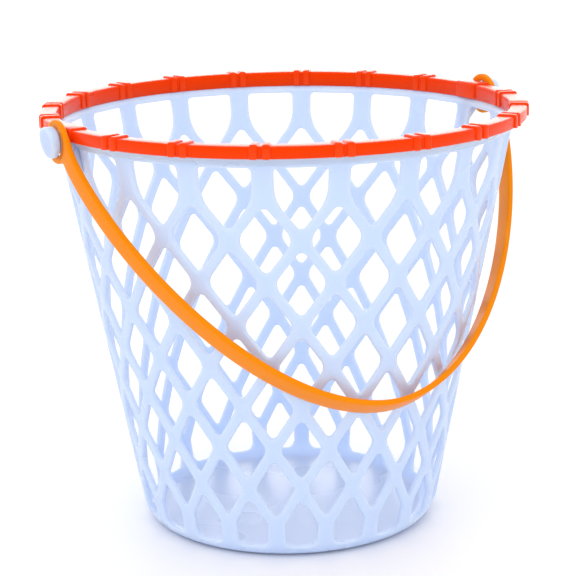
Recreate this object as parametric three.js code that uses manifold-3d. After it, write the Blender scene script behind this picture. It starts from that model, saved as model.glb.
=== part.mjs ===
// Beach sieve pail: a tub whose wall is cut into a net, a rim ring clipped over the tub's lip,
// and a flat strap handle hooked on two ears. Millimetres, +Z up. The tub's axis is the Z axis
// and its underside lies on z = 0. The ears lie on the X axis, and the handle hangs towards -Y.
import * as THREE from 'three';
import { mergeVertices } from 'three/addons/utils/BufferGeometryUtils.js';
import Module from 'manifold-3d';

const wasm = await Module();
wasm.setup();

// Fits
const clearance = 0.3; // between parts that are assembled
const overlap = 0.8; // how far a feature is sunk into the body it grows from
const cutMargin = 1; // how far a cutting tool runs past the surface it cuts

// Rim ring
const rimHeight = 176; // underside of the tub to the ring's flat top
const rimRadius = 100; // outside of the ring
const rimWidth = 6.8; // across the ring's top
const rimOuterDepth = 4.7; // height of the outer face
const rimSkirt = 1.4; // thickness of the outer skirt
const rimTopThickness = 1.9; // plate over the tub's lip
const rimChamfer = 0.6;
const ribProud = 0.7; // how far a rib stands above the ring
const ribWidth = 3.4;
const ribSpacing = 4.8; // centre to centre in a pair
const earPadMargin = 2.6; // the wide rib over each ear, beyond its notch

// Tub
const baseRadius = 61.8; // outside of the wall, carried down to z = 0
const wallThickness = 2.2;
const floorThickness = 2.5;
const baseCorner = 8; // outside radius between wall and underside
const floorCorner = 6; // inside radius between wall and floor
const lipThickness = 1.8;
const flareWidth = 4.4; // how far the wall swings out below the ring
const flareHeight = 3.4;
const lipShow = 0.4; // height of the lip's outer face that shows below the ring

// Net: straps run down from the rim, split at the first row of crossings and cross as cords
const strapCount = 20;
const facetsPerStrap = 2;
const crossingRows = 9;
const firstCrossing = 20.5; // below the ring's top
const lastCrossing = 13.8; // above the underside
const topBand = 8.9; // solid band between the ring's top and the first openings
const baseBand = 5.3; // solid band above the underside
const strapWidthAtRim = 8.4; // width of a net strap above its split
const cordWidth = 4.3;
const tipFlat = 2.4; // flat that rounds the top and bottom of an opening
const sideFlat = 5; // flat that rounds the sides of an opening
const windowCorner = 1.4; // chamfer in the first openings' upper corners
const footCorner = 3.6; // chamfer in the last openings' lower corners

// Ears
const pivotDrop = 5.1; // below the ring's top
const shaftRadius = 4.6;
const headGrip = 0.6; // how far the head laps over the hook
const headThickness = 2.2;
const headSlant = 1.5; // how much thicker the head is at its top
const gussetThickness = 2.4;
const gussetHeight = 13; // below the pivot

// Handle
const hookThickness = 2.4;
const hookBand = 3; // width of the band around the ear's shaft
const hookFit = 1; // between the hook and the shaft
const hookMouthStart = 199; // degrees from the strap's direction, counter-clockwise
const hookMouthEnd = 293;
const strapEndWidth = 7.6; // at the hooks
const strapCrownWidth = 9.6; // at the middle
const crownRoom = 30.8; // from the rim to the strap's middle line when the strap is level
const legExponent = 1.46; // the strap's curve beside the rim; 2 is an ellipse, less is slimmer
const crownExponent = 1.885; // and round the crown
const strapSteps = 56;

// Sizes that follow from those above
const skirtBottom = rimHeight - rimOuterDepth;
const rimInside = rimRadius - rimWidth;
const pivotHeight = rimHeight - pivotDrop;
const lipRadius = rimRadius - rimSkirt - clearance;
const lipInside = lipRadius - lipThickness;
const lipTop = rimHeight - rimTopThickness - clearance;
const lipBottom = skirtBottom - lipShow;
const wallTop = lipBottom - flareHeight;
const wallTopRadius = lipRadius - flareWidth;
const taper = (wallTopRadius - baseRadius) / wallTop;
const wallRadiusAt = (z) => baseRadius + taper * z;
const strapAngle = (2 * Math.PI) / strapCount;
const facets = strapCount * facetsPerStrap;
const flareAngle = Math.atan2(flareHeight, flareWidth);
const flareInside = wallTopRadius - lipThickness * Math.sin(flareAngle);
const flareTop = wallTop + lipThickness * Math.cos(flareAngle);
const flareTopAt = (radius) => flareTop + (radius - flareInside) * Math.tan(flareAngle);
const earFace = rimRadius + ribProud + clearance; // inner face of the hook
const hookBore = shaftRadius + hookFit;
const headRadius = hookBore + headGrip;
const strapReach = rimRadius + crownRoom; // from the pivot
const headFace = earFace + hookThickness + clearance;
const legStraight = hookBore + hookBand; // the strap keeps clear of the rib over the ear
const strapOffset = hookBore + hookBand - strapEndWidth / 2; // its outer edge runs into the hook's

const tubMaterial = new THREE.MeshStandardMaterial({ color: 0xd2e2fe, roughness: 0.35, metalness: 0 });
const ringMaterial = new THREE.MeshStandardMaterial({ color: 0xfc4a0c, roughness: 0.35, metalness: 0 });
const strapMaterial = new THREE.MeshStandardMaterial({ color: 0xfc9512, roughness: 0.35, metalness: 0 });

// Turns a closed geometry into a solid: only positions are kept and shared points are merged.
function solidFrom(geometry) {
  const bare = geometry.clone();
  bare.deleteAttribute('normal');
  bare.deleteAttribute('uv');
  const merged = mergeVertices(bare, 1e-4);
  const index = merged.index.array;
  const triangles = [];
  for (let i = 0; i < index.length; i += 3) {
    const [a, b, c] = index.slice(i, i + 3);
    if (a !== b && b !== c && c !== a) triangles.push(a, b, c);
  }
  return new wasm.Manifold(new wasm.Mesh({
    numProp: 3,
    vertProperties: new Float32Array(merged.attributes.position.array),
    triVerts: new Uint32Array(triangles),
  }));
}

function geometryFrom(solid) {
  const mesh = solid.getMesh();
  const geometry = new THREE.BufferGeometry();
  geometry.setAttribute('position', new THREE.BufferAttribute(mesh.vertProperties, 3));
  geometry.setIndex(new THREE.BufferAttribute(mesh.triVerts, 1));
  geometry.computeVertexNormals();
  return geometry;
}

function namedMesh(name, solid, material) {
  const mesh = new THREE.Mesh(geometryFrom(solid), material);
  mesh.name = name;
  return mesh;
}

// Turns an outline of [radius, height] points about the Z axis. The outline runs
// counter-clockwise, and either closes on itself or starts and ends on the axis.
function turned(outline) {
  const points = outline.map(([radius, height]) => new THREE.Vector2(radius, height));
  const geometry = new THREE.LatheGeometry(points, facets);
  geometry.rotateX(Math.PI / 2);
  return solidFrom(geometry);
}

// Extrudes an outline of [x, z] points along Y, centred on y = 0.
function slab(outline, thickness) {
  const shape = new THREE.Shape(outline.map(([x, z]) => new THREE.Vector2(x, z)));
  const geometry = new THREE.ExtrudeGeometry(shape, { depth: thickness, bevelEnabled: false });
  geometry.translate(0, 0, -thickness / 2);
  geometry.rotateX(Math.PI / 2);
  return solidFrom(geometry);
}

// A round bar along X from one end to the other, at the height of the pivot.
function earBar(radius, from, to) {
  const geometry = new THREE.CylinderGeometry(radius, radius, to - from, 24);
  geometry.rotateZ(Math.PI / 2);
  geometry.translate((from + to) / 2, 0, pivotHeight);
  return solidFrom(geometry);
}

function arcPoints(centreX, centreY, radius, fromDegrees, toDegrees, steps) {
  const points = [];
  for (let i = 0; i <= steps; i += 1) {
    const angle = THREE.MathUtils.degToRad(fromDegrees + ((toDegrees - fromDegrees) * i) / steps);
    points.push([centreX + radius * Math.cos(angle), centreY + radius * Math.sin(angle)]);
  }
  return points;
}

// A cutter for one opening, pushed straight through the wall. The outline has [share of the
// strap spacing, height] points around the opening's centre line, which stands at turn strap
// spacings from +X.
function netCutter(outline, turn) {
  const points = outline.map(([share, height]) => (
    [wallRadiusAt(height) * Math.sin(share * strapAngle), height]
  ));
  const heights = outline.map(([, height]) => height);
  const outside = wallRadiusAt(Math.max(...heights)) + cutMargin;
  const halfWidth = wallRadiusAt(Math.min(...heights)) * Math.cos(strapAngle / 2);
  const inside = halfWidth - wallThickness - cutMargin;
  return slab(points, outside - inside)
    .translate([0, -(outside + inside) / 2, 0])
    .rotate([0, 0, 90 + THREE.MathUtils.radToDeg(turn * strapAngle)]);
}

// Openings between cords are the cell between four crossings, less half a cord on each side.
const crossingPitch = (rimHeight - firstCrossing - lastCrossing) / (crossingRows - 1);
const crossingHeight = (row) => rimHeight - firstCrossing - crossingPitch * row;

function cellAt(height) {
  const spacing = wallRadiusAt(height) * strapAngle;
  const halfCell = spacing / 2;
  const across = (halfCell * crossingPitch) / Math.hypot(halfCell, crossingPitch);
  const shrink = 1 - cordWidth / 2 / across;
  const halfWidth = halfCell * shrink;
  const halfHeight = crossingPitch * shrink;
  const tip = tipFlat / 2;
  const side = sideFlat / 2;
  return {
    tip: tip / spacing,
    tipRise: halfHeight * (1 - tip / halfWidth),
    side: (halfWidth * (1 - side / halfHeight)) / spacing,
    sideRise: side,
    spacing,
  };
}

function diamondOutline(height) {
  const cell = cellAt(height);
  return [
    [cell.tip, height - cell.tipRise],
    [cell.side, height - cell.sideRise],
    [cell.side, height + cell.sideRise],
    [cell.tip, height + cell.tipRise],
    [-cell.tip, height + cell.tipRise],
    [-cell.side, height + cell.sideRise],
    [-cell.side, height - cell.sideRise],
    [-cell.tip, height - cell.tipRise],
  ];
}

function windowOutline() {
  const height = crossingHeight(0);
  const top = rimHeight - topBand;
  const cell = cellAt(height);
  const side = 0.5 - strapWidthAtRim / 2 / cell.spacing;
  const corner = windowCorner / cell.spacing;
  const sideDrop = cell.tipRise * (1 - (side - cell.tip) / (cell.side - cell.tip))
    + cell.sideRise * ((side - cell.tip) / (cell.side - cell.tip));
  return [
    [cell.tip, height - cell.tipRise],
    [side, height - sideDrop],
    [side, top - windowCorner],
    [side - corner, top],
    [corner - side, top],
    [-side, top - windowCorner],
    [-side, height - sideDrop],
    [-cell.tip, height - cell.tipRise],
  ];
}

function footOutline() {
  const height = crossingHeight(crossingRows - 1);
  const cell = cellAt(height);
  const corner = footCorner / cell.spacing;
  return [
    [cell.side - corner, baseBand],
    [cell.side, baseBand + footCorner],
    [cell.side, height + cell.sideRise],
    [cell.tip, height + cell.tipRise],
    [-cell.tip, height + cell.tipRise],
    [-cell.side, height + cell.sideRise],
    [-cell.side, baseBand + footCorner],
    [corner - cell.side, baseBand],
  ];
}

// Odd rows of crossings stand between straps, even rows on them, so the openings centred on an
// odd row's height stand on the straps.
function netCutters() {
  const cutters = [];
  for (let strap = 0; strap < strapCount; strap += 1) {
    cutters.push(netCutter(windowOutline(), strap + 0.5));
    for (let row = 1; row < crossingRows - 1; row += 1) {
      const turn = row % 2 === 1 ? strap : strap + 0.5;
      cutters.push(netCutter(diamondOutline(crossingHeight(row)), turn));
    }
    cutters.push(netCutter(footOutline(), strap + 0.5));
  }
  return cutters;
}

// Tub: floor, wall, flare and lip in one turned outline, with the ears grown on before the cut.
function tubShell() {
  const wallFoot = baseCorner;
  const wallSlope = THREE.MathUtils.radToDeg(Math.atan(taper));
  const cornerX = wallRadiusAt(wallFoot) - baseCorner / Math.cos(Math.atan(taper));
  const outerCorner = arcPoints(cornerX, wallFoot, baseCorner, -90, -wallSlope, 4);
  const insideFoot = floorThickness + floorCorner;
  const insideX = wallRadiusAt(insideFoot) - wallThickness - floorCorner / Math.cos(Math.atan(taper));
  const innerCorner = arcPoints(insideX, insideFoot, floorCorner, -wallSlope, -90, 3);
  return turned([
    [0, 0],
    ...outerCorner,
    [wallTopRadius, wallTop],
    [lipRadius, lipBottom],
    [lipRadius, lipTop],
    [lipInside, lipTop],
    [lipInside, flareTopAt(lipInside)],
    [flareInside, flareTop],
    [wallTopRadius - wallThickness, wallTop],
    ...innerCorner,
    [0, floorThickness],
  ]);
}

// Ear: a shaft from the lip through the ring's notch, a head that keeps the hook on, and a
// gusset down to the wall.
function ear() {
  const root = lipInside + lipThickness / 2;
  const shaft = earBar(shaftRadius, root, headFace + overlap);
  const head = earBar(headRadius, headFace, headFace + headThickness + headSlant);
  const headTop = pivotHeight + headRadius;
  const headBottom = pivotHeight - headRadius;
  const outside = headFace + headThickness + headSlant + cutMargin;
  const slant = headSlant / (2 * headRadius);
  const bevel = slab([
    [headFace + headThickness - slant * cutMargin, headBottom - cutMargin],
    [outside + cutMargin, headBottom - cutMargin],
    [outside + cutMargin, headTop + cutMargin],
    [headFace + headThickness + headSlant + slant * cutMargin, headTop + cutMargin],
  ], 2 * headRadius + 2 * cutMargin);
  const gussetFoot = pivotHeight - gussetHeight;
  const gusset = slab([
    [wallRadiusAt(gussetFoot) - overlap, gussetFoot],
    [rimRadius, pivotHeight - shaftRadius + overlap],
    [rimRadius, lipBottom],
    [lipRadius - overlap, lipBottom],
    [wallTopRadius - overlap, wallTop],
  ], gussetThickness);
  return shaft.add(head.subtract(bevel)).add(gusset);
}

const halfTurn = (solid) => solid.rotate([0, 0, 180]);

function netTub() {
  const earSolid = ear();
  return tubShell()
    .add(earSolid)
    .add(halfTurn(earSolid))
    .subtract(wasm.Manifold.union(netCutters()));
}

// Ring: a channel over the lip, whose underside follows the flare, with ribs over its top.
const ringUnderAt = (radius) => flareTopAt(radius) + clearance / Math.cos(flareAngle);

function ringChannel() {
  const channelTop = rimHeight - rimTopThickness;
  const channelInside = lipInside - clearance;
  const skirtInside = rimRadius - rimSkirt;
  return turned([
    [rimInside, ringUnderAt(rimInside)],
    [channelInside, ringUnderAt(channelInside)],
    [channelInside, channelTop],
    [skirtInside, channelTop],
    [skirtInside, skirtBottom],
    [rimRadius, skirtBottom],
    [rimRadius, rimHeight - rimChamfer],
    [rimRadius - rimChamfer, rimHeight],
    [rimInside + rimChamfer, rimHeight],
    [rimInside, rimHeight - rimChamfer],
    [rimInside, ringUnderAt(rimInside)],
  ]);
}

function rib(width) {
  const outside = rimRadius + ribProud;
  const inside = rimInside - ribProud;
  const top = rimHeight + ribProud;
  const sunk = overlap;
  const foot = ringUnderAt(rimInside) + sunk;
  return slab([
    [inside, foot],
    [rimInside + sunk, foot + sunk],
    [rimInside + sunk, rimHeight - sunk],
    [rimRadius - sunk, rimHeight - sunk],
    [rimRadius - sunk, skirtBottom],
    [outside, skirtBottom],
    [outside, top - rimChamfer],
    [outside - rimChamfer, top],
    [inside + rimChamfer, top],
    [inside, top - rimChamfer],
  ], width);
}

function rimRing() {
  const earPadWidth = 2 * (shaftRadius + clearance + earPadMargin);
  const pieces = [ringChannel()];
  for (let strap = 0; strap < strapCount; strap += 1) {
    const degrees = (360 / strapCount) * strap;
    if (degrees % 180 === 0) {
      pieces.push(rib(earPadWidth).rotate([0, 0, degrees]));
      continue;
    }
    for (const side of [-1, 1]) {
      pieces.push(rib(ribWidth).translate([0, (side * ribSpacing) / 2, 0]).rotate([0, 0, degrees]));
    }
  }
  const notch = earBar(
    shaftRadius + clearance,
    lipInside + lipThickness / 2 - clearance,
    rimRadius + ribProud + cutMargin,
  );
  return wasm.Manifold.union(pieces).subtract(notch).subtract(halfTurn(notch));
}

// Handle, drawn in the plane of its U: x across the pail, y from the pivot towards the crown,
// and z across the strap's width. The two hooks stand at the ends of the U.
const strapSpan = earFace + hookThickness / 2;

function strapMiddle(angle) {
  const across = Math.sign(Math.cos(angle)) * Math.abs(Math.cos(angle)) ** (2 / crownExponent);
  return new THREE.Vector2(
    strapSpan * across,
    legStraight + (strapReach - legStraight) * Math.sin(angle) ** (2 / legExponent),
  );
}

function strapSide(side) {
  const half = (side * hookThickness) / 2;
  const points = [new THREE.Vector2(strapSpan + half, 0)];
  const small = 1e-4;
  for (let i = 0; i <= strapSteps; i += 1) {
    const angle = small + ((Math.PI - 2 * small) * i) / strapSteps;
    const ahead = strapMiddle(Math.min(angle + small, Math.PI - small / 2));
    const behind = strapMiddle(angle - small / 2);
    const along = ahead.sub(behind).normalize();
    const middle = strapMiddle(angle);
    points.push(new THREE.Vector2(middle.x + along.y * half, middle.y - along.x * half));
  }
  points.push(new THREE.Vector2(-strapSpan - half, 0));
  return points;
}

function strapWidthAt(reach) {
  const share = Math.sqrt(THREE.MathUtils.clamp(reach / strapReach, 0, 1));
  return THREE.MathUtils.lerp(strapEndWidth, strapCrownWidth, share);
}

function strap() {
  const outline = strapSide(1).concat(strapSide(-1).reverse());
  const geometry = new THREE.ExtrudeGeometry(new THREE.Shape(outline), {
    depth: 1,
    bevelEnabled: false,
  });
  const position = geometry.attributes.position;
  for (let i = 0; i < position.count; i += 1) {
    const across = (position.getZ(i) - 0.5) * strapWidthAt(position.getY(i));
    position.setZ(i, strapOffset + across);
  }
  return solidFrom(geometry);
}

// The hook is drawn around its own centre with the strap's direction along +x, then turned so
// that x runs along the strap and y across its width.
function hook() {
  const outer = arcPoints(0, 0, hookBore + hookBand, hookMouthEnd - 360, hookMouthStart, 32);
  const inner = arcPoints(0, 0, hookBore, hookMouthStart, hookMouthEnd - 360, 32);
  const outline = outer.concat(inner).map(([x, y]) => new THREE.Vector2(x, y));
  const geometry = new THREE.ExtrudeGeometry(new THREE.Shape(outline), {
    depth: hookThickness,
    bevelEnabled: false,
  });
  geometry.applyMatrix4(new THREE.Matrix4().makeBasis(
    new THREE.Vector3(0, 1, 0),
    new THREE.Vector3(0, 0, 1),
    new THREE.Vector3(1, 0, 0),
  ));
  return solidFrom(geometry);
}

function strapHandle() {
  const bore = new THREE.CylinderGeometry(
    hookBore,
    hookBore,
    2 * (strapSpan + 2 * hookThickness),
    32,
  );
  bore.rotateZ(Math.PI / 2);
  const right = hook().translate([earFace, 0, 0]);
  const left = hook().translate([-earFace - hookThickness, 0, 0]);
  return strap().subtract(solidFrom(bore)).add(right).add(left);
}

const group = new THREE.Group();
group.add(namedMesh('net_tub', netTub(), tubMaterial));
group.add(namedMesh('rim_ring', rimRing(), ringMaterial));

// At rest the handle leans on the wall: its plane drops from the pivot towards -Y until the
// strap's lower inner edge is a clearance away from the wall.
function leanAngle() {
  const edge = strapSide(-1);
  const gapAt = (angle) => Math.min(...edge.map(({ x, y }) => {
    const across = strapOffset - strapWidthAt(y) / 2;
    const out = y * Math.cos(angle) + across * Math.sin(angle);
    const height = pivotHeight - y * Math.sin(angle) + across * Math.cos(angle);
    return Math.hypot(x, out) - wallRadiusAt(height);
  }));
  let low = 0;
  let high = Math.PI / 2;
  while (high - low > 1e-4) {
    const middle = (low + high) / 2;
    if (gapAt(middle) > clearance) low = middle;
    else high = middle;
  }
  return low;
}

const handle = namedMesh('strap_handle', strapHandle(), strapMaterial);
const drop = leanAngle();
const handlePlace = new THREE.Group();
handlePlace.position.set(0, 0, pivotHeight);
handlePlace.setRotationFromMatrix(new THREE.Matrix4().makeBasis(
  new THREE.Vector3(-1, 0, 0),
  new THREE.Vector3(0, -Math.cos(drop), -Math.sin(drop)),
  new THREE.Vector3(0, -Math.sin(drop), Math.cos(drop)),
));
handlePlace.add(handle);
group.add(handlePlace);

export default group;
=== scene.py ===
import math

import bmesh
import bpy
from mathutils import Matrix, Vector


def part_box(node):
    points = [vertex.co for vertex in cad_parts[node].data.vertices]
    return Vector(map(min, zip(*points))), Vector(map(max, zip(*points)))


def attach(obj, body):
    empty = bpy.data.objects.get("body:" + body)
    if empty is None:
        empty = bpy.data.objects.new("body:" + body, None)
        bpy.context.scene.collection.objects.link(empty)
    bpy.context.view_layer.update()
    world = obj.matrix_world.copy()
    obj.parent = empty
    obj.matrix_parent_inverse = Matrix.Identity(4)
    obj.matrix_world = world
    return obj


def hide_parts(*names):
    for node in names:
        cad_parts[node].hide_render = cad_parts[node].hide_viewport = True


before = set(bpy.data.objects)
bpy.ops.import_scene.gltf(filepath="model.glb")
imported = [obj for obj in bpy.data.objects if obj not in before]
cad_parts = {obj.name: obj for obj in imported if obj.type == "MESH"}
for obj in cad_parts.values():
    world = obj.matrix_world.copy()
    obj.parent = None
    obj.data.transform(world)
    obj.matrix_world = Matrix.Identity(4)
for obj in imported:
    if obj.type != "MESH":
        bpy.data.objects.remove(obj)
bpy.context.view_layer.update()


# Camera. It stands in front and a little to the left of the hanging handle, just above the
# height of the rim, and is turned by about a degree about its own line of sight.
camera_azimuth = math.radians(-30.84)
camera_elevation = math.radians(14.38)
camera_roll = math.radians(-1.03)
camera_distance = 0.8140
camera_aim_right = 0.0005
camera_aim_height = 0.0974
camera_lens = 120.2
camera_data = bpy.data.cameras.new("camera")
camera_data.sensor_width = 36.0
camera_data.lens = camera_lens
camera_right = Vector((math.cos(camera_azimuth), math.sin(camera_azimuth), 0))
camera_back = Vector((
    math.sin(camera_azimuth) * math.cos(camera_elevation),
    -math.cos(camera_azimuth) * math.cos(camera_elevation),
    math.sin(camera_elevation),
))
camera_up = camera_back.cross(camera_right)
rolled_right = camera_right * math.cos(camera_roll) + camera_up * math.sin(camera_roll)
rolled_up = camera_up * math.cos(camera_roll) - camera_right * math.sin(camera_roll)
camera = bpy.data.objects.new("camera", camera_data)
camera.matrix_world = Matrix.Translation(
    camera_right * camera_aim_right
    + Vector((0, 0, camera_aim_height))
    + camera_back * camera_distance
) @ Matrix((rolled_right, rolled_up, camera_back)).transposed().to_4x4()
bpy.context.scene.collection.objects.link(camera)
bpy.context.scene.camera = camera


# Net tub. One injection moulding in pale blue, slightly translucent polypropylene: a floor, a
# tapered wall pierced like a hoop's net, and a flared lip that the rim ring clips over. Twenty
# straps run down from the lip, split, and cross one another as cords down to the base band.
MM = 0.001
ring_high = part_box("rim_ring")[1]
rib_proud = 0.7 * MM
rim_radius = ring_high.x - rib_proud
rim_top = ring_high.z - rib_proud
base_radius = 61.8 * MM
wall_thickness = 2.2 * MM
floor_thickness = 2.5 * MM
base_corner = 8 * MM
floor_corner = 6 * MM
lip_radius = rim_radius - 1.7 * MM
lip_thickness = 1.8 * MM
lip_top = rim_top - 2.2 * MM
lip_bottom = rim_top - 5.1 * MM
flare_width = 4.4 * MM
flare_height = 3.2 * MM
strap_count = 20
strap_angle = 2 * math.pi / strap_count
first_crossing = rim_top - 20.5 * MM
last_crossing = 13.8 * MM
crossing_rows = 9
crossing_pitch = (first_crossing - last_crossing) / (crossing_rows - 1)
window_top = rim_top - 9.3 * MM
window_corner = 1.7 * MM
window_turn = 16 * MM
foot_bottom = 5.3 * MM
foot_corner = 3.6 * MM
foot_turn = 3 * MM
foot_width_share = 0.86
band_top = foot_bottom - 1.5 * MM
strap_width_at_rim = 8.4 * MM
cord_width = 4.3 * MM
tip_round_share = 0.2
side_round_share = 0.5
outer_round = 0.9 * MM
inner_round = 0.5 * MM
lip_edge = 0.5 * MM
gate_radius = 1.6 * MM
gate_depth = 0.5 * MM
floor_ring_inner = 14 * MM
floor_ring_outer = 34 * MM
corner_steps = 4
edge_parts = 2 * corner_steps + 1
seam_weld = 0.01 * MM
leave_none_out = 1000
wall_top = lip_bottom - flare_height
wall_top_radius = lip_radius - flare_width
wall_taper = (wall_top_radius - base_radius) / wall_top


def wall_outside(height):
    """The wall's outer radius, which turns in to the underside round the base corner."""
    radius = base_radius + wall_taper * height
    drop = max(base_corner - height, 0)
    return radius - (base_corner - math.sqrt(base_corner ** 2 - drop ** 2))


def wall_inside(height):
    """The wall's inner radius, which turns in to the floor."""
    radius = base_radius + wall_taper * height - wall_thickness
    drop = max(floor_thickness + floor_corner - height, 0)
    return radius - (floor_corner - math.sqrt(max(floor_corner ** 2 - drop ** 2, 0)))


def wall_point(share, height, depth):
    """Share counts strap spacings around the tub, depth runs from 0 outside to 1 inside."""
    radius = wall_outside(height) * (1 - depth) + wall_inside(height) * depth
    angle = share * strap_angle
    return (radius * math.cos(angle), radius * math.sin(angle), height)


def rounded_outline(corners, radii, grow):
    """Corners run counter-clockwise. Every corner becomes an arc, and grow moves it outwards."""
    points = []
    count = len(corners)
    for i, (corner, radius) in enumerate(zip(corners, radii)):
        here = Vector(corner)
        before = (here - Vector(corners[i - 1])).normalized()
        after = (Vector(corners[(i + 1) % count]) - here).normalized()
        normal_in = Vector((before.y, -before.x))
        normal_out = Vector((after.y, -after.x))
        centre = here - (normal_in + normal_out) * (radius / (1 + normal_in.dot(normal_out)))
        start = math.atan2(normal_in.y, normal_in.x)
        turn = (math.atan2(normal_out.y, normal_out.x) - start) % (2 * math.pi)
        for step in range(edge_parts):
            angle = start + turn * step / (edge_parts - 1)
            reach = radius + grow
            points.append(centre + Vector((math.cos(angle), math.sin(angle))) * reach)
    return points


def cell_edge(corners):
    """Points on the cords' middle lines that answer to those of a rounded outline."""
    points = []
    count = len(corners)
    for i in range(count):
        here, before, after = (Vector(corners[j % count]) for j in (i, i - 1, i + 1))
        for step in range(corner_steps, 0, -1):
            points.append(here.lerp(before, step / edge_parts))
        points.append(here)
        for step in range(1, corner_steps + 1):
            points.append(here.lerp(after, step / edge_parts))
    return points


def add_strip(verts, faces, rows, closed):
    """Quads between rows of points. Each row is the next one on the way round the section."""
    start = len(verts)
    width = len(rows[0])
    for row in rows:
        verts.extend(row)
    for i in range(len(rows) - 1):
        for j in range(width if closed else width - 1):
            a = start + i * width + j
            b = start + i * width + (j + 1) % width
            faces.append((a, b, b + width, a + width))


def add_opening(verts, faces, middle, corners, radii, cell):
    """One opening and the half cords around it, from the outer face round to the inner one."""
    spacing = wall_outside(sum(z for _, z in corners) / len(corners)) * strap_angle
    edge = cell_edge(cell)

    def ring(grow, depth):
        outline = rounded_outline(corners, radii, grow)
        return [wall_point(middle + p.x / spacing, p.y, depth) for p in outline]

    def flat(depth, grow):
        outline = rounded_outline(corners, radii, grow)
        return [
            wall_point((e.x + middle + p.x / spacing) / 2, (e.y + p.y) / 2, depth)
            for e, p in zip(edge, outline)
        ]

    half_turned = 1 - math.sqrt(0.5)
    outer_share = outer_round / wall_thickness
    inner_share = inner_round / wall_thickness
    add_strip(verts, faces, [
        [wall_point(e.x, e.y, 0) for e in edge],
        flat(0, outer_round),
        ring(outer_round, 0),
        ring(outer_round * half_turned, outer_share * half_turned),
        ring(0, outer_share),
        ring(0, 1 - inner_share),
        ring(inner_round * half_turned, 1 - inner_share * half_turned),
        ring(inner_round, 1),
        flat(1, inner_round),
        [wall_point(e.x, e.y, 1) for e in edge],
    ], closed=True)


def cell_half_sizes(height):
    """Half width and half height of the sharp diamond that the cords leave open."""
    half_cell = wall_outside(height) * strap_angle / 2
    across = half_cell * crossing_pitch / math.hypot(half_cell, crossing_pitch)
    shrink = 1 - cord_width / 2 / across
    return half_cell * shrink, crossing_pitch * shrink


def add_diamond(verts, faces, row, middle):
    """One diamond between four cords, in the row of crossings that it has its sides in."""
    height = first_crossing - crossing_pitch * row
    half_width, half_height = cell_half_sizes(height)
    tip = tip_round_share * half_width
    side = side_round_share * half_width
    add_opening(
        verts, faces, middle,
        [(0, height - half_height), (half_width, height), (0, height + half_height),
         (-half_width, height)],
        [tip, side, tip, side],
        [(middle, height - crossing_pitch), (middle + 0.5, height),
         (middle, height + crossing_pitch), (middle - 0.5, height)],
    )


def add_window(verts, faces, middle):
    """The straight-sided openings under the lip, which run down to a point between two cords."""
    half_width, half_height = cell_half_sizes(first_crossing)
    side = (wall_outside(first_crossing) * strap_angle - strap_width_at_rim) / 2
    turn = first_crossing - half_height * (1 - side / half_width)
    add_opening(
        verts, faces, middle,
        [(0, first_crossing - half_height), (side, turn), (side, window_top),
         (-side, window_top), (-side, turn)],
        [tip_round_share * half_width, window_turn, window_corner, window_corner, window_turn],
        [(middle, first_crossing - crossing_pitch), (middle + 0.5, first_crossing),
         (middle + 0.5, wall_top), (middle - 0.5, wall_top), (middle - 0.5, first_crossing)],
    )


def add_foot(verts, faces, middle):
    """The last openings, pointed at the top and round-cornered over the base band."""
    half_width, half_height = cell_half_sizes(last_crossing)
    side = foot_width_share * half_width
    turn = last_crossing + half_height * (1 - side / half_width)
    add_opening(
        verts, faces, middle,
        [(side, foot_bottom), (side, turn), (0, last_crossing + half_height), (-side, turn),
         (-side, foot_bottom)],
        [foot_corner, foot_turn, tip_round_share * half_width, foot_turn, foot_corner],
        [(middle + 0.5, band_top), (middle + 0.5, last_crossing),
         (middle, last_crossing + crossing_pitch), (middle - 0.5, last_crossing),
         (middle - 0.5, band_top)],
    )


def arc(centre_x, centre_z, radius, start, end, steps):
    """Points [x, z] on an arc, with the angles in radians."""
    angles = [start + (end - start) * i / steps for i in range(steps + 1)]
    return [(centre_x + radius * math.cos(a), centre_z + radius * math.sin(a)) for a in angles]


def turned_rows(profile):
    """One strap spacing of a turned surface: a row of points for each [radius, height]."""
    angles = [strap_angle * i / edge_parts for i in range(edge_parts + 1)]
    return [[(r * math.cos(a), r * math.sin(a), z) for a in angles] for r, z in profile]


def lip_profile():
    """From the wall's outside up the flare, over the lip and down to the wall's inside."""
    flare = math.atan2(flare_height, flare_width)
    inner_flare = wall_top_radius - lip_thickness * math.sin(flare)
    inner_height = wall_top + lip_thickness * math.cos(flare)
    lip_inside = lip_radius - lip_thickness
    inside_turn = inner_height + (lip_inside - inner_flare) * math.tan(flare)
    return [
        (wall_outside(wall_top), wall_top),
        # A soft turn out of the wall, and the rounded edge that the flare ends in.
        (wall_top_radius + 0.55 * MM, wall_top + 0.1 * MM),
        (wall_top_radius + 1.5 * MM, wall_top + 0.7 * MM),
        (lip_radius - 0.9 * MM, lip_bottom - 0.65 * MM),
        (lip_radius - 0.15 * MM, lip_bottom),
        (lip_radius, lip_bottom + lip_edge),
        (lip_radius, lip_top - lip_edge),
        (lip_radius - lip_edge, lip_top),
        (lip_inside + lip_edge, lip_top),
        (lip_inside, lip_top - lip_edge),
        # Down the inside: the lip, the flare's upper face and a soft turn into the wall.
        (lip_inside, inside_turn),
        (inner_flare, inner_height),
        (wall_inside(wall_top) + 0.2 * MM, wall_top + 0.6 * MM),
        (wall_inside(wall_top), wall_top),
    ]


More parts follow.
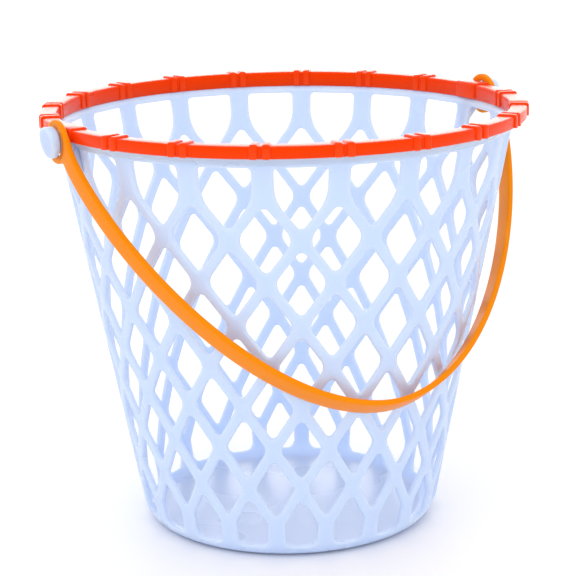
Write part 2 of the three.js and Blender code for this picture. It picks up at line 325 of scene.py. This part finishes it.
def base_profiles():
    """The underside out to the band, and the inside from the band in to the floor's middle."""
    turn_out = math.asin((base_corner - band_top) / base_corner)
    foot = base_radius + wall_taper * band_top
    outer = [(foot - base_corner + x, z) for x, z in arc(
        0, base_corner, base_corner, -math.pi / 2, -turn_out, 8)]
    gate = [(0, gate_depth), (gate_radius, gate_depth), (gate_radius + gate_depth, 0),
            (floor_ring_inner, 0), (floor_ring_outer, 0)]
    rise = floor_thickness + floor_corner
    turn_in = math.asin((rise - band_top) / floor_corner)
    inner = [(foot - wall_thickness - floor_corner + x, z) for x, z in arc(
        0, rise, floor_corner, -turn_in, -math.pi / 2, 6)]
    floor = [(r, floor_thickness) for r in (floor_ring_outer, floor_ring_inner, 0)]
    outer[-1] = (wall_outside(band_top), band_top)
    inner[0] = (wall_inside(band_top), band_top)
    return gate + outer, inner + floor


def net_sector():
    """One strap spacing of the whole tub, from the middle of the floor to the lip."""
    verts, faces = [], []
    add_window(verts, faces, 0.5)
    for row in range(1, crossing_rows - 1):
        add_diamond(verts, faces, row, 0 if row % 2 else 0.5)
    add_foot(verts, faces, 0.5)
    underside, inside = base_profiles()
    for profile in (lip_profile(), underside, inside):
        add_strip(verts, faces, turned_rows(profile), closed=False)
    mesh = bpy.data.meshes.new("net_sector")
    mesh.from_pydata(verts, [], faces)
    sector = bpy.data.objects.new("net_sector", mesh)
    bpy.context.scene.collection.objects.link(sector)
    return sector


def new_tree(name, inputs):
    """A geometry node tree with one geometry socket each way and the inputs named."""
    tree = bpy.data.node_groups.new(name, "GeometryNodeTree")
    tree.interface.new_socket("Geometry", in_out="INPUT", socket_type="NodeSocketGeometry")
    for label, kind, value in inputs:
        socket = tree.interface.new_socket(label, in_out="INPUT", socket_type=kind)
        if value is not None:
            socket.default_value = value
    tree.interface.new_socket("Geometry", in_out="OUTPUT", socket_type="NodeSocketGeometry")
    return tree


def around_axis_tree():
    """Copies what it is given at even turns about Z, leaves out every nth and welds the rest.

    A Leave Out Every of leave_none_out or more keeps them all.
    """
    tree = new_tree("copies_around_the_axis", [
        ("Copies", "NodeSocketInt", strap_count),
        ("Leave Out Every", "NodeSocketInt", leave_none_out),
        ("Weld Distance", "NodeSocketFloat", seam_weld),
        ("Material", "NodeSocketMaterial", None),
    ])
    node = tree.nodes.new
    link = tree.links.new
    given = node("NodeGroupInput")
    points = node("GeometryNodePoints")
    link(given.outputs["Copies"], points.inputs["Count"])
    index = node("GeometryNodeInputIndex")
    step = node("ShaderNodeMath")
    step.operation = "DIVIDE"
    step.inputs[0].default_value = 2 * math.pi
    link(given.outputs["Copies"], step.inputs[1])
    turn = node("ShaderNodeMath")
    turn.operation = "MULTIPLY"
    link(index.outputs["Index"], turn.inputs[0])
    link(step.outputs[0], turn.inputs[1])
    angles = node("ShaderNodeCombineXYZ")
    link(turn.outputs[0], angles.inputs["Z"])
    rotation = node("FunctionNodeEulerToRotation")
    link(angles.outputs[0], rotation.inputs[0])
    remainder = node("ShaderNodeMath")
    remainder.operation = "MODULO"
    link(index.outputs["Index"], remainder.inputs[0])
    link(given.outputs["Leave Out Every"], remainder.inputs[1])
    kept = node("FunctionNodeCompare")
    kept.data_type = "FLOAT"
    kept.operation = "GREATER_THAN"
    kept.inputs[1].default_value = 0.5
    link(remainder.outputs[0], kept.inputs[0])
    every = node("FunctionNodeCompare")
    every.data_type = "INT"
    every.operation = "GREATER_EQUAL"
    link(given.outputs["Leave Out Every"], every.inputs[2])
    every.inputs[3].default_value = leave_none_out
    chosen = node("FunctionNodeBooleanMath")
    chosen.operation = "OR"
    link(kept.outputs[0], chosen.inputs[0])
    link(every.outputs[0], chosen.inputs[1])
    copies = node("GeometryNodeInstanceOnPoints")
    link(points.outputs[0], copies.inputs["Points"])
    link(chosen.outputs[0], copies.inputs["Selection"])
    link(given.outputs["Geometry"], copies.inputs["Instance"])
    link(rotation.outputs[0], copies.inputs["Rotation"])
    realize = node("GeometryNodeRealizeInstances")
    link(copies.outputs[0], realize.inputs[0])
    weld = node("GeometryNodeMergeByDistance")
    link(realize.outputs[0], weld.inputs["Geometry"])
    link(given.outputs["Weld Distance"], weld.inputs["Distance"])
    material = node("GeometryNodeSetMaterial")
    link(weld.outputs[0], material.inputs["Geometry"])
    link(given.outputs["Material"], material.inputs["Material"])
    result = node("NodeGroupOutput")
    link(material.outputs[0], result.inputs["Geometry"])
    return tree


def run_tree(source, tree, values, name):
    """The plain mesh object that the tree makes from the source, which is then removed."""
    modifier = source.modifiers.new(tree.name, "NODES")
    modifier.node_group = tree
    for item in tree.interface.items_tree:
        if item.in_out == "INPUT" and item.name in values:
            modifier[item.identifier] = values[item.name]
    bpy.context.view_layer.update()
    evaluated = source.evaluated_get(bpy.context.evaluated_depsgraph_get())
    mesh = bpy.data.meshes.new_from_object(evaluated)
    mesh.name = name
    result = bpy.data.objects.new(name, mesh)
    bpy.context.scene.collection.objects.link(result)
    bpy.data.objects.remove(source)
    return result


def shade_smooth(piece, sharp_degrees):
    """Smooth faces, with edges sharper than the angle kept crisp."""
    for polygon in piece.data.polygons:
        polygon.use_smooth = True
    piece.data.set_sharp_from_angle(angle=math.radians(sharp_degrees))


def plastic_group():
    """Moulded plastic: clouding, grain, flow waves and scuffed edges, in Object coordinates."""
    group = bpy.data.node_groups.new("moulded_plastic", "ShaderNodeTree")
    for label, kind, value in (
        ("Colour", "NodeSocketColor", (0.8, 0.8, 0.8, 1)),
        ("Cloud Colour", "NodeSocketColor", (0.7, 0.7, 0.7, 1)),
        ("Cloud Scale", "NodeSocketFloat", 18.0),
        ("Cloud Amount", "NodeSocketFloat", 0.5),
        ("Edge Colour", "NodeSocketColor", (0.9, 0.9, 0.9, 1)),
        ("Edge Amount", "NodeSocketFloat", 0.3),
        ("Smoothest", "NodeSocketFloat", 0.2),
        ("Roughest", "NodeSocketFloat", 0.35),
        ("Grain Scale", "NodeSocketFloat", 2600.0),
        ("Grain Height", "NodeSocketFloat", 0.00001),
        ("Flow Scale", "NodeSocketFloat", 55.0),
        ("Flow Height", "NodeSocketFloat", 0.00012),
    ):
        socket = group.interface.new_socket(label, in_out="INPUT", socket_type=kind)
        socket.default_value = value
    for label, kind in (
        ("Colour", "NodeSocketColor"),
        ("Roughness", "NodeSocketFloat"),
        ("Normal", "NodeSocketVector"),
    ):
        group.interface.new_socket(label, in_out="OUTPUT", socket_type=kind)
    node = group.nodes.new
    link = group.links.new
    given = node("NodeGroupInput")
    result = node("NodeGroupOutput")
    place = node("ShaderNodeTexCoord")

    def noise(scale, detail):
        texture = node("ShaderNodeTexNoise")
        texture.inputs["Detail"].default_value = detail
        link(place.outputs["Object"], texture.inputs["Vector"])
        link(given.outputs[scale], texture.inputs["Scale"])
        return texture.outputs["Fac"]

    def math_node(operation, first, second):
        made = node("ShaderNodeMath")
        made.operation = operation
        made.use_clamp = operation == "MULTIPLY"
        link(first, made.inputs[0])
        if isinstance(second, float):
            made.inputs[1].default_value = second
        else:
            link(second, made.inputs[1])
        return made.outputs[0]

    def mix_colour(factor, first, second):
        made = node("ShaderNodeMix")
        made.data_type = "RGBA"
        link(factor, made.inputs[0])
        link(first, made.inputs[6])
        link(second, made.inputs[7])
        return made.outputs[2]

    def bump(height, distance, normal):
        made = node("ShaderNodeBump")
        made.inputs["Strength"].default_value = 1.0
        link(height, made.inputs["Height"])
        link(distance, made.inputs["Distance"])
        if normal is not None:
            link(normal, made.inputs["Normal"])
        return made.outputs["Normal"]

    cloud = noise("Cloud Scale", 3.0)
    grain = noise("Grain Scale", 2.0)
    flow = noise("Flow Scale", 1.0)
    shape = node("ShaderNodeNewGeometry")
    edge = node("ShaderNodeMapRange")
    edge.inputs["From Min"].default_value = 0.53
    edge.inputs["From Max"].default_value = 0.62
    link(shape.outputs["Pointiness"], edge.inputs["Value"])
    worn = math_node("MULTIPLY", math_node("MULTIPLY", edge.outputs[0], cloud),
                     given.outputs["Edge Amount"])
    clouded = mix_colour(
        math_node("MULTIPLY", cloud, given.outputs["Cloud Amount"]),
        given.outputs["Colour"], given.outputs["Cloud Colour"])
    link(mix_colour(worn, clouded, given.outputs["Edge Colour"]), result.inputs["Colour"])
    finish = node("ShaderNodeMapRange")
    finish.inputs["From Min"].default_value = 0.2
    finish.inputs["From Max"].default_value = 0.8
    link(cloud, finish.inputs["Value"])
    link(given.outputs["Smoothest"], finish.inputs["To Min"])
    link(given.outputs["Roughest"], finish.inputs["To Max"])
    link(math_node("ADD", finish.outputs[0], math_node("MULTIPLY", worn, 0.3)),
         result.inputs["Roughness"])
    waved = bump(flow, given.outputs["Flow Height"], None)
    link(bump(grain, given.outputs["Grain Height"], waved), result.inputs["Normal"])
    return group


moulded_plastic = plastic_group()


def plastic(name, colour, cloud_colour, edge_colour, settings, values):
    """A Principled material that takes its colour, roughness and normal from the group."""
    material = bpy.data.materials.new(name)
    material.use_nodes = True
    tree = material.node_tree
    surface = tree.nodes["Principled BSDF"]
    group = tree.nodes.new("ShaderNodeGroup")
    group.node_tree = moulded_plastic
    group.inputs["Colour"].default_value = (*colour, 1)
    group.inputs["Cloud Colour"].default_value = (*cloud_colour, 1)
    group.inputs["Edge Colour"].default_value = (*edge_colour, 1)
    for label, value in settings.items():
        group.inputs[label].default_value = value
    for label, value in values.items():
        surface.inputs[label].default_value = value
    tree.links.new(group.outputs["Colour"], surface.inputs["Base Color"])
    tree.links.new(group.outputs["Roughness"], surface.inputs["Roughness"])
    tree.links.new(group.outputs["Normal"], surface.inputs["Normal"])
    return material


tub_material = plastic(
    "pale_blue_polypropylene", (0.555, 0.655, 0.95), (0.50, 0.61, 0.94), (0.66, 0.76, 0.98),
    {"Cloud Scale": 14.0, "Edge Amount": 0.5, "Smoothest": 0.22, "Roughest": 0.34},
    {"IOR": 1.49, "Subsurface Weight": 0.8, "Subsurface Scale": 0.007,
     "Subsurface Radius": (0.85, 0.92, 1.0)},
)
around_axis = around_axis_tree()
net = run_tree(net_sector(), around_axis, {"Material": tub_material}, "net_tub_moulding")
shade_smooth(net, 60)
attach(net, "pail")
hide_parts("net_tub")


# Ears. Part of the tub's moulding, one on each side: a round shaft that stands out through a
# notch in the ring's skirt, a slanted button head that holds the handle's hook, and below the
# shaft a thin upright gusset that ties it to the wall.
clearance = 0.3 * MM
pivot_height = rim_top - 5.1 * MM
hook_face = rim_radius + rib_proud + clearance
hook_thickness = 2.4 * MM
shaft_radius = 4.6 * MM
shaft_root = lip_radius - 0.9 * MM
head_radius = 6.2 * MM
head_face = hook_face + hook_thickness + clearance
head_thickness = 2.5 * MM
head_slant = 1.9 * MM
head_edge = 0.7 * MM
gusset_thickness = 2.4 * MM
gusset_drop = 13 * MM
gusset_back_drop = 2.4 * MM
gusset_root = 1.2 * MM
gusset_edge = 0.4 * MM
merge_distance = 0.001 * MM
no_weld = 0.0001 * MM


def mesh_piece(name, verts, faces, material):
    """An object at the origin with this mesh and material."""
    mesh = bpy.data.meshes.new(name)
    mesh.from_pydata(verts, [], faces)
    mesh.materials.append(material)
    made = bpy.data.objects.new(name, mesh)
    bpy.context.scene.collection.objects.link(made)
    return made


def closed_up(piece):
    """The piece with its doubled points merged and every face turned outwards."""
    shape = bmesh.new()
    shape.from_mesh(piece.data)
    bmesh.ops.remove_doubles(shape, verts=shape.verts[:], dist=merge_distance)
    bmesh.ops.recalc_face_normals(shape, faces=shape.faces[:])
    shape.to_mesh(piece.data)
    shape.free()
    return piece


def rounded_prism(name, outline, low, high, rounding, place, material):
    """A flat outline of [u, v] given thickness from low to high, with both rims rounded."""
    count = len(outline)
    verts = [place(u, v, low) for u, v in outline] + [place(u, v, high) for u, v in outline]
    faces = [tuple(reversed(range(count))), tuple(range(count, 2 * count))]
    faces += [(i, (i + 1) % count, count + (i + 1) % count, count + i) for i in range(count)]
    made = mesh_piece(name, verts, faces, material)
    shape = bmesh.new()
    shape.from_mesh(made.data)
    rims = [edge for edge in shape.edges
            if (edge.verts[0].index < count) == (edge.verts[1].index < count)]
    bmesh.ops.bevel(shape, geom=rims, offset=rounding, segments=4, profile=0.5,
                    affect="EDGES", clamp_overlap=True)
    shape.to_mesh(made.data)
    shape.free()
    return closed_up(made)


def joined(name, objects):
    """One object made of all of them, where they stand."""
    shape = bmesh.new()
    for made in objects:
        made.data.transform(made.matrix_world)
        shape.from_mesh(made.data)
    mesh = bpy.data.meshes.new(name)
    shape.to_mesh(mesh)
    shape.free()
    mesh.materials.append(objects[0].data.materials[0])
    for made in objects:
        bpy.data.objects.remove(made)
    result = bpy.data.objects.new(name, mesh)
    bpy.context.scene.collection.objects.link(result)
    return result


def ear_button():
    """Shaft and head, turned about the pivot, with the head's end face slanting outwards."""
    head_end = head_face + head_thickness
    profile = [
        (shaft_root, 0),
        (shaft_root, shaft_radius),
        (head_face, shaft_radius),
        (head_face, head_radius - 0.5 * head_edge),
        (head_face + 0.5 * head_edge, head_radius),
        (head_end - head_edge, head_radius),
        (head_end - 0.3 * head_edge, head_radius - 0.3 * head_edge),
        (head_end, head_radius - head_edge),
        (head_end, 0.5 * head_radius),
        (head_end, 0),
    ]
    slant_start = head_face + 0.5 * head_edge
    slant_depth = head_thickness - 1.5 * head_edge
    turns = 48
    rows = []
    for i in range(turns):
        angle = 2 * math.pi * i / turns
        row = []
        for x, r in profile:
            y, z = r * math.sin(angle), r * math.cos(angle)
            share = min(max((x - slant_start) / slant_depth, 0), 1)
            rise = share * head_slant * (z + head_radius) / (2 * head_radius)
            row.append((x + rise, y, pivot_height + z))
        rows.append(row)
    verts, faces = [], []
    add_strip(verts, faces, [*rows, rows[0]], closed=False)
    return closed_up(mesh_piece("ear_button", verts, faces, tub_material))


def ear_gusset():
    """An upright web that widens from nothing at its foot to the shaft's underside."""
    foot = pivot_height - gusset_drop
    outline = [
        (wall_outside(foot) - gusset_root, foot),
        (wall_outside(foot) + 0.1 * MM, foot),
        (rim_radius, pivot_height - shaft_radius),
        (rim_radius, pivot_height),
        (wall_outside(wall_top) - 0.4 * MM, pivot_height - gusset_back_drop),
        (wall_outside(wall_top) - gusset_root, wall_top),
    ]
    half = gusset_thickness / 2
    return rounded_prism(
        "ear_gusset", outline, -half, half, gusset_edge, lambda u, v, w: (u, w, v), tub_material)


ear = joined("ear", [ear_button(), ear_gusset()])
ears = run_tree(ear, around_axis, {
    "Copies": 2, "Weld Distance": no_weld, "Material": tub_material}, "tub_ears")
shade_smooth(ears, 40)
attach(ears, "pail")
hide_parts("net_tub")


# Rim ring. A separate glossy orange-red moulding: a channel of polypropylene pressed down over
# the tub's lip. Pairs of ribs cross its top and sides at every strap, a wide pad takes their
# place over each ear, and its skirt is notched where the ear's shaft comes through.
ring_width = 6.8 * MM
ring_depth = 4.7 * MM
ring_skirt = 1.4 * MM
ring_top_thickness = 1.9 * MM
ring_inside = rim_radius - ring_width
ring_under = rim_top - 6.4 * MM
channel_inside = lip_radius - lip_thickness - clearance
channel_outside = rim_radius - ring_skirt
channel_under = rim_top - 4.05 * MM
ring_round = 0.8 * MM
skirt_edge = 0.3 * MM
channel_edge = 0.2 * MM
rib_width = 3.4 * MM
rib_spacing = 4.8 * MM
rib_root = 1.2 * MM
rib_corner = 1.2 * MM
rib_round = 0.85 * MM
rib_foot = ring_under + 0.5 * MM
pad_width = 15 * MM
notch_radius = 4.9 * MM
notch_depth = 6 * MM
notch_middle = channel_outside + 2.2 * MM
pad_notch_ease = 0.05 * MM
ring_material = plastic(
    "orange_red_polypropylene", (0.96, 0.045, 0.001), (0.92, 0.032, 0.001), (0.98, 0.14, 0.05),
    {"Cloud Scale": 11.0, "Edge Amount": 0.45, "Smoothest": 0.2, "Roughest": 0.32},
    {"IOR": 1.49, "Specular Tint": (1.0, 0.3, 0.04, 1), "Subsurface Weight": 0.1,
     "Subsurface Scale": 0.002, "Subsurface Radius": (1.0, 0.3, 0.1)},
)


def ring_channel():
    """The ring's section, turned once round: over the top, down the skirt, up the channel."""
    round_height = rim_top - ring_round
    skirt_bottom = rim_top - ring_depth
    channel_top = rim_top - ring_top_thickness
    section = arc(ring_inside + ring_round, round_height, ring_round, math.pi, math.pi / 2, 4)
    section += arc(rim_radius - ring_round, round_height, ring_round, math.pi / 2, 0, 4)
    section += [
        (rim_radius, skirt_bottom + skirt_edge),
        (rim_radius - skirt_edge, skirt_bottom),
        (channel_outside + channel_edge, skirt_bottom),
        (channel_outside, skirt_bottom + channel_edge),
        (channel_outside, channel_top),
        (channel_inside, channel_top),
        (channel_inside, channel_under + channel_edge),
        (channel_inside - channel_edge, channel_under),
        (ring_inside + skirt_edge, ring_under),
        (ring_inside, ring_under + skirt_edge),
    ]
    turns = 240
    around = [2 * math.pi * i / turns for i in range(turns)]
    rows = [[(r * math.cos(a), r * math.sin(a), z) for a in around] for r, z in section]
    verts, faces = [], []
    add_strip(verts, faces, [*rows, rows[0]], closed=True)
    return closed_up(mesh_piece("ring_channel", verts, faces, ring_material))


def ring_rib(offset, width):
    """A rounded bar that follows the ring's section on the X axis, moved sideways by offset."""
    inner_face = ring_inside - rib_proud
    outer_face = rim_radius + rib_proud
    corner_height = rim_top + rib_proud - rib_corner
    outline = [(inner_face, rib_foot)]
    outline += arc(inner_face + rib_corner, corner_height, rib_corner, math.pi, math.pi / 2, 4)
    outline += arc(outer_face - rib_corner, corner_height, rib_corner, math.pi / 2, 0, 4)
    outline += [
        (outer_face, rim_top - ring_depth),
        (rim_radius - rib_root, rim_top - ring_depth),
        (rim_radius - rib_root, rim_top - rib_root),
        (ring_inside + rib_root, rim_top - rib_root),
        (ring_inside + rib_root, rib_foot + 0.2 * MM),
    ]

    def place(u, v, w):
        angle = (offset + w) / rim_radius
        return (u * math.cos(angle), u * math.sin(angle), v)

    return rounded_prism(
        "ring_rib", list(reversed(outline)), -width / 2, width / 2, rib_round, place,
        ring_material)


def notched(part, ease):
    """The part without the round notches that the ears' shafts need, widened by the ease."""
    tools = []
    for side in (1, -1):
        bpy.ops.mesh.primitive_cylinder_add(
            vertices=64, radius=notch_radius + ease, depth=notch_depth + 2 * ease,
            location=(side * notch_middle, 0, pivot_height),
            rotation=(0, math.pi / 2, 0))
        tool = bpy.context.object
        cut = part.modifiers.new("notch", "BOOLEAN")
        cut.operation = "DIFFERENCE"
        cut.solver = "EXACT"
        cut.object = tool
        tools.append(tool)
    bpy.context.view_layer.update()
    evaluated = part.evaluated_get(bpy.context.evaluated_depsgraph_get())
    mesh = bpy.data.meshes.new_from_object(evaluated)
    result = bpy.data.objects.new(part.name, mesh)
    bpy.context.scene.collection.objects.link(result)
    for made in (part, *tools):
        bpy.data.objects.remove(made)
    return result


rib_pair = joined("rib_pair", [
    ring_rib(-rib_spacing / 2, rib_width), ring_rib(rib_spacing / 2, rib_width)])
ribs = run_tree(rib_pair, around_axis, {
    "Copies": strap_count, "Leave Out Every": strap_count // 2, "Weld Distance": no_weld,
    "Material": ring_material}, "ring_ribs")
pads = run_tree(notched(ring_rib(0, pad_width), pad_notch_ease), around_axis, {
    "Copies": 2, "Weld Distance": no_weld, "Material": ring_material}, "ring_pads")
ring = joined("rim_ring_moulding", [notched(ring_channel(), 0), ribs, pads])
shade_smooth(ring, 50)
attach(ring, "pail")
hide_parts("rim_ring")


# Strap handle. One flat moulding in amber plastic, bent into a U across the pail. Each end
# widens into an open hook that is snapped over an ear's shaft behind its button head, and at
# rest the strap leans on the front of the net.
hook_bore = 5.6 * MM
hook_band = 3 * MM
hook_radius = hook_bore + hook_band
hook_tip = 1.1 * MM
mouth_start = math.radians(199)
mouth_end = math.radians(293 - 360)
strap_span = hook_face + hook_thickness / 2
leg_exponent = 1.46
crown_exponent = 1.885
strap_reach = rim_radius + 30.8 * MM
strap_end_width = 7.6 * MM
strap_crown_width = 9.6 * MM
strap_offset = hook_radius - strap_end_width / 2
strap_root = hook_bore + 0.9 * MM
strap_edge = 0.75 * MM
fillet_radius = 2 * MM
leg_steps = 24
crown_steps = 150
crown_start = 0.003
handle_material = plastic(
    "amber_polypropylene", (0.95, 0.28, 0.003), (0.92, 0.22, 0.002), (0.98, 0.42, 0.08),
    {"Cloud Scale": 9.0, "Edge Amount": 0.4, "Smoothest": 0.3, "Roughest": 0.46},
    {"IOR": 1.49, "Specular IOR Level": 0.3, "Specular Tint": (1.0, 0.55, 0.08, 1),
     "Subsurface Weight": 0.12, "Subsurface Scale": 0.002,
     "Subsurface Radius": (1.0, 0.45, 0.15)},
)


def strap_point(angle):
    """The strap's middle line: straight past the hook, then round the crown and back."""
    across = math.copysign(abs(math.cos(angle)) ** (2 / crown_exponent), math.cos(angle))
    along = abs(math.sin(angle)) ** (2 / leg_exponent)
    return Vector((strap_span * across, hook_radius + (strap_reach - hook_radius) * along))


def strap_edges(along):
    """The strap's lower and upper edge across its width, measured from the pivot's plane.

    The lower edge starts inside the hook's band and leaves it by a fillet.
    """
    share = math.sqrt(min(max(along / strap_reach, 0), 1))
    half = (strap_end_width + (strap_crown_width - strap_end_width) * share) / 2
    lower, upper = strap_offset - half, strap_offset + half
    middle = lower - fillet_radius
    centre = math.sqrt((hook_radius + fillet_radius) ** 2 - middle ** 2)
    touch = centre * hook_radius / (hook_radius + fillet_radius)
    if along < strap_root:
        return math.sqrt(strap_root ** 2 - along ** 2), upper
    inset = centre - max(along, touch)
    if inset <= 0:
        return lower, upper
    return middle + math.sqrt(max(fillet_radius ** 2 - inset ** 2, 0)), upper


def rounded_section(width):
    """Points [offset, across] round the moulding's section, with an arc at each corner."""
    deep = hook_thickness / 2 - strap_edge
    half = width / 2 - strap_edge
    points = []
    for corner, (u, w) in enumerate(((1, 1), (-1, 1), (-1, -1), (1, -1))):
        for part in range(5):
            turn = math.pi / 2 * (corner + part / 4)
            points.append((
                u * deep + strap_edge * math.cos(turn), w * half + strap_edge * math.sin(turn)))
    return points


def swept(name, rows):
    """The skin over rows of section points, with a flat face at each end."""
    verts, faces = [], []
    add_strip(verts, faces, rows, closed=True)
    size = len(rows[0])
    faces.append(tuple(range(size)))
    faces.append(tuple(reversed(range(len(verts) - size, len(verts)))))
    return mesh_piece(name, verts, faces, handle_material)


def strap_band():
    """The strap between the hooks, with a rounded section that is swept along it."""
    line = [Vector((strap_span, hook_radius * i / leg_steps)) for i in range(leg_steps)]
    for i in range(crown_steps + 1):
        share = 0.5 - 0.5 * math.cos(math.pi * i / crown_steps)
        line.append(strap_point(crown_start + (math.pi - 2 * crown_start) * share))
    line += [Vector((-p.x, p.y)) for p in reversed(line[:leg_steps])]
    rows = []
    for i, middle in enumerate(line):
        ahead = line[min(i + 1, len(line) - 1)]
        behind = line[max(i - 1, 0)]
        along = (ahead - behind).normalized()
        out = Vector((along.y, -along.x))
        lower, upper = strap_edges(middle.y)
        rows.append([
            (*(middle + out * offset), (upper + lower) / 2 + across)
            for offset, across in rounded_section(upper - lower)
        ])
    return swept("strap_band", rows)


def strap_hook(side):
    """The open eye: a rounded band that runs from one end of its mouth to the other.

    It is pinched at both ends, so that each ends in a rounded tip.
    """
    middle = hook_bore + hook_band / 2
    steps = 64
    rows = []
    for i in range(steps + 1):
        angle = mouth_end + (mouth_start - mouth_end) * i / steps
        from_tip = min(angle - mouth_end, mouth_start - angle) * middle / hook_tip
        pinch = math.sqrt(max(1 - (1 - min(from_tip, 1)) ** 2, 0.02))
        row = []
        for offset, across in rounded_section(hook_band):
            radius = middle + across * pinch
            x = side * strap_span + offset * (0.6 + 0.4 * pinch)
            row.append((x, radius * math.cos(angle), radius * math.sin(angle)))
        rows.append(row)
    return swept("strap_hook", rows)


def strap_lean():
    """The angle below level at which the strap's lower inner edge meets the net."""
    sample_count = 400
    samples = [strap_point(math.pi * i / sample_count) for i in range(1, sample_count)]

    def gap(angle):
        """The least distance from the strap to the wall when it hangs at this angle."""
        least = math.inf
        for i in range(1, len(samples) - 1):
            along = (samples[i + 1] - samples[i - 1]).normalized()
            inner = samples[i] - Vector((along.y, -along.x)) * hook_thickness / 2
            edge = strap_edges(samples[i].y)[0]
            out = inner.y * math.cos(angle) + edge * math.sin(angle)
            height = pivot_height - inner.y * math.sin(angle) + edge * math.cos(angle)
            least = min(least, math.hypot(inner.x, out) - wall_outside(height))
        return least

    low, high = 0.0, math.pi / 2
    accuracy = 1e-4
    while high - low > accuracy:
        angle = (low + high) / 2
        if gap(angle) > clearance:
            low = angle
        else:
            high = angle
    return low


lean = strap_lean()
handle = joined("strap_handle_moulding", [strap_band(), strap_hook(1), strap_hook(-1)])
handle.data.transform(Matrix.Translation((0, 0, pivot_height)) @ Matrix((
    (-1, 0, 0),
    (0, -math.cos(lean), -math.sin(lean)),
    (0, -math.sin(lean), math.cos(lean)),
)).to_4x4())
closed_up(handle)
shade_smooth(handle, 60)
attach(handle, "handle")
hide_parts("strap_handle")


# Floor. A wide pale sweep for the pail to stand on, plain and slightly rough.
floor_size = 60
floor_height = -0.2 * MM
bpy.ops.mesh.primitive_plane_add(size=floor_size, location=(0, 0, floor_height))
floor = bpy.context.object
floor.name = "floor"
floor_material = bpy.data.materials.new("pale_floor")
floor_material.use_nodes = True
floor_surface = floor_material.node_tree.nodes["Principled BSDF"]
floor_surface.inputs["Base Color"].default_value = (0.97, 0.972, 0.975, 1)
floor_surface.inputs["Roughness"].default_value = 0.6
floor.data.materials.append(floor_material)


# Light. A white room that lights everything evenly, a soft panel overhead to the left, and a
# low one behind the pail whose sheen lies on the flat tops of the ring and the strap.
world = bpy.data.worlds.new("white_room")
world.use_nodes = True
world.node_tree.nodes["Background"].inputs["Color"].default_value = (1, 1, 1, 1)
world.node_tree.nodes["Background"].inputs["Strength"].default_value = 1.0
bpy.context.scene.world = world
panel_aim = Vector((0, 0, 0.15))
for name, place, width, height, power in (
    ("overhead_panel", (-0.7, -0.7, 1.3), 1.0, 1.0, 3.0),
    ("back_panel", (2.05, 3.43, 0.85), 4.5, 1.3, 40.0),
):
    panel_data = bpy.data.lights.new(name, "AREA")
    panel_data.shape = "RECTANGLE"
    panel_data.size = width
    panel_data.size_y = height
    panel_data.energy = power
    panel = bpy.data.objects.new(name, panel_data)
    panel.location = place
    panel.rotation_mode = "QUATERNION"
    panel.rotation_quaternion = (panel_aim - panel.location).to_track_quat("-Z", "Y")
    bpy.context.scene.collection.objects.link(panel)
bpy.context.scene.view_settings.view_transform = "Standard"
